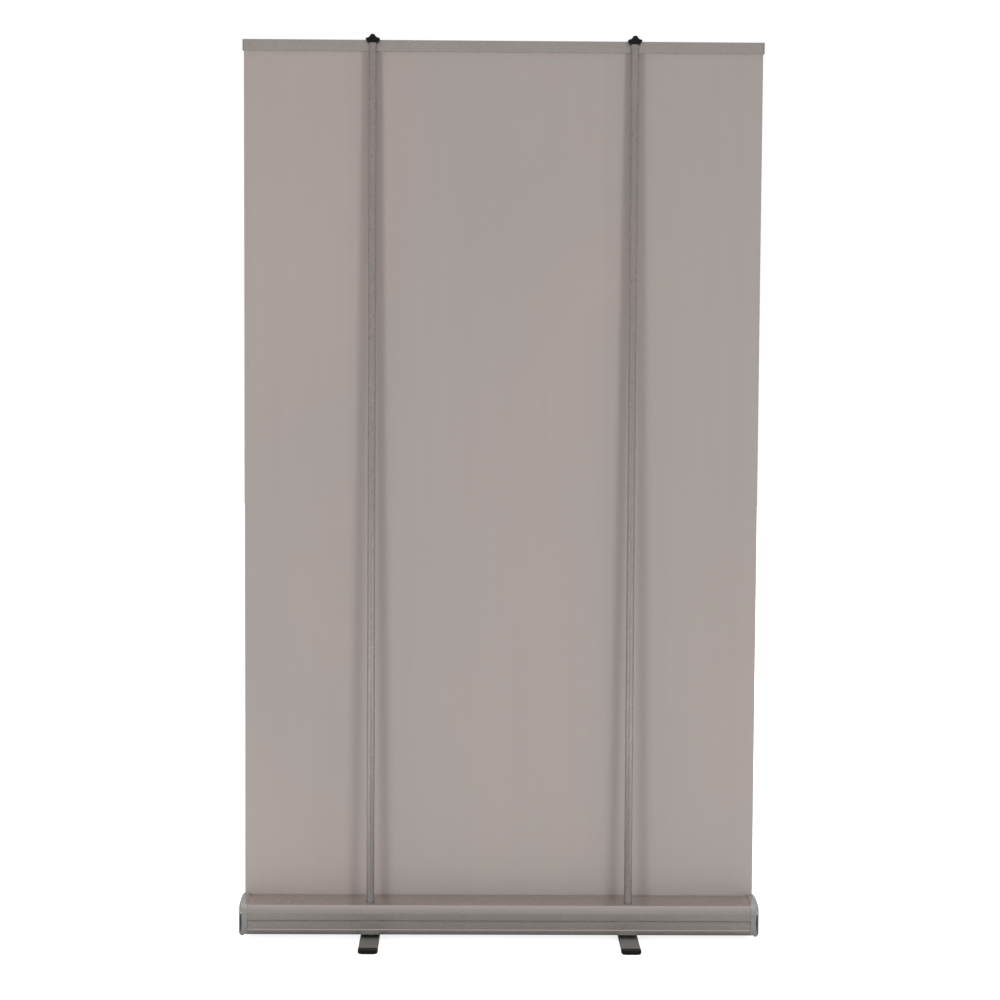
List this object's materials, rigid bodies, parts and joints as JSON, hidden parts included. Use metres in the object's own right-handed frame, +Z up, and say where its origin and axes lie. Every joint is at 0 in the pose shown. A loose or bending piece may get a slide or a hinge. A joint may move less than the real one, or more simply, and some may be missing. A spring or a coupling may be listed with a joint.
{
  "type": "roll-up banner stand",
  "caption": "Free-standing roll-up banner stand: film drawn from a sprung roller in a low cassette, hooked on poles behind, on swing-out feet.",
  "frame": {"origin": "on the floor, under the middle of the cassette", "axes": "+Z up, +X along the cassette, +Y towards the graphic side; the poles stand on the -Y side"},
  "size_m": [1.216, 0.354, 2.1012],
  "materials": {
    "satin_aluminium": "satin anodised extrusion",
    "bright_silver_cap": "moulded, bright metallised silver",
    "anodised_tube": "anodised drawn tube",
    "foot_profile": "grey anodised extrusion",
    "black_plastic": "moulded, fine texture",
    "white_nylon": "moulded, natural",
    "zinc_steel": "zinc plated",
    "spring_steel": "oil tempered wire",
    "banner_film": "plain warm-grey back of a printed polyester film",
    "elastic_cord": "braided elastic cord"
  },
  "bodies": {
    "housing": {"cassette_cover": "satin_aluminium", "base_tray": "satin_aluminium", "end_cap_left": "bright_silver_cap", "end_cap_right": "bright_silver_cap", "cap_screw_left_rear": "zinc_steel", "cap_screw_left_front": "zinc_steel", "cap_screw_right_rear": "zinc_steel", "cap_screw_right_front": "zinc_steel", "spring_shaft": "zinc_steel", "shaft_collar": "white_nylon", "idle_axle": "zinc_steel", "torsion_spring": "spring_steel", "banner_film": "banner_film", "pole_socket_left": "black_plastic", "pole_socket_right": "black_plastic", "socket_screw_left": "zinc_steel", "socket_screw_right": "zinc_steel", "pivot_bolt_left": "zinc_steel", "pivot_washer_left": "zinc_steel", "pivot_nut_left": "zinc_steel", "pivot_bolt_right": "zinc_steel", "pivot_washer_right": "zinc_steel", "pivot_nut_right": "zinc_steel"},
    "roller": {"roller_tube": "satin_aluminium", "roller_plug_spring": "white_nylon", "roller_plug_idle": "white_nylon", "spring_anchor": "white_nylon", "film_wrap": "banner_film"},
    "rail": {"rail_body": "satin_aluminium", "rail_end_cap_left": "bright_silver_cap", "rail_end_cap_right": "bright_silver_cap"},
    "jaw": {"rail_jaw": "satin_aluminium"},
    "foot_left": {"foot_bar_left": "foot_profile", "foot_plug_left_rear": "black_plastic", "foot_plug_left_front": "black_plastic"},
    "pole_left_lower": {"pole_plug_left": "black_plastic", "pole_tube_left_lower": "anodised_tube", "pole_ferrule_left_lower": "zinc_steel", "pole_cord_left": "elastic_cord"},
    "pole_left_middle": {"pole_tube_left_middle": "anodised_tube", "pole_ferrule_left_upper": "zinc_steel"},
    "pole_left_upper": {"pole_tube_left_upper": "anodised_tube", "pole_hook_left": "black_plastic"},
    "foot_right": {"foot_bar_right": "foot_profile", "foot_plug_right_rear": "black_plastic", "foot_plug_right_front": "black_plastic"},
    "pole_right_lower": {"pole_plug_right": "black_plastic", "pole_tube_right_lower": "anodised_tube", "pole_ferrule_right_lower": "zinc_steel", "pole_cord_right": "elastic_cord"},
    "pole_right_middle": {"pole_tube_right_middle": "anodised_tube", "pole_ferrule_right_upper": "zinc_steel"},
    "pole_right_upper": {"pole_tube_right_upper": "anodised_tube", "pole_hook_right": "black_plastic"}
  },
  "joints": [
    {"name": "rail_drop", "type": "slide", "parent": "housing", "child": "rail", "axis": [0, 0, 1], "range_m": [-1.97, 0], "deforming": ["banner_film"]},
    {"name": "roller_spin", "type": "hinge", "parent": "housing", "child": "roller", "pos_m": [0, 0.01, 0.052], "axis": [1, 0, 0], "range_deg": [-5500, 30]},
    {"name": "rail_jaw_open", "type": "hinge", "parent": "rail", "child": "jaw", "pos_m": [0, 0.0356, 2.0854], "axis": [1, 0, 0], "range_deg": [0, 60]},
    {"name": "foot_left_swing", "type": "hinge", "parent": "housing", "child": "foot_left", "pos_m": [-0.302, 0, 0.0048], "axis": [0, 0, 1], "range_deg": [0, 90]},
    {"name": "pole_left_lift", "type": "slide", "parent": "housing", "child": "pole_left_lower", "axis": [0, 0.0181, 0.9998], "range_m": [0, 0.036]},
    {"name": "pole_left_middle_pull", "type": "slide", "parent": "pole_left_lower", "child": "pole_left_middle", "axis": [0, 0.0181, 0.9998], "range_m": [0, 0.04]},
    {"name": "pole_left_upper_pull", "type": "slide", "parent": "pole_left_middle", "child": "pole_left_upper", "axis": [0, 0.0181, 0.9998], "range_m": [0, 0.04]},
    {"name": "foot_right_swing", "type": "hinge", "parent": "housing", "child": "foot_right", "pos_m": [0.302, 0, 0.0048], "axis": [0, 0, 1], "range_deg": [-90, 0]},
    {"name": "pole_right_lift", "type": "slide", "parent": "housing", "child": "pole_right_lower", "axis": [0, 0.0181, 0.9998], "range_m": [0, 0.036]},
    {"name": "pole_right_middle_pull", "type": "slide", "parent": "pole_right_lower", "child": "pole_right_middle", "axis": [0, 0.0181, 0.9998], "range_m": [0, 0.04]},
    {"name": "pole_right_upper_pull", "type": "slide", "parent": "pole_right_middle", "child": "pole_right_upper", "axis": [0, 0.0181, 0.9998], "range_m": [0, 0.04]}
  ],
  "couplings": [
    {"joint": "roller_spin", "follows": "rail_drop", "rad_per_m": 48.66}
  ]
}
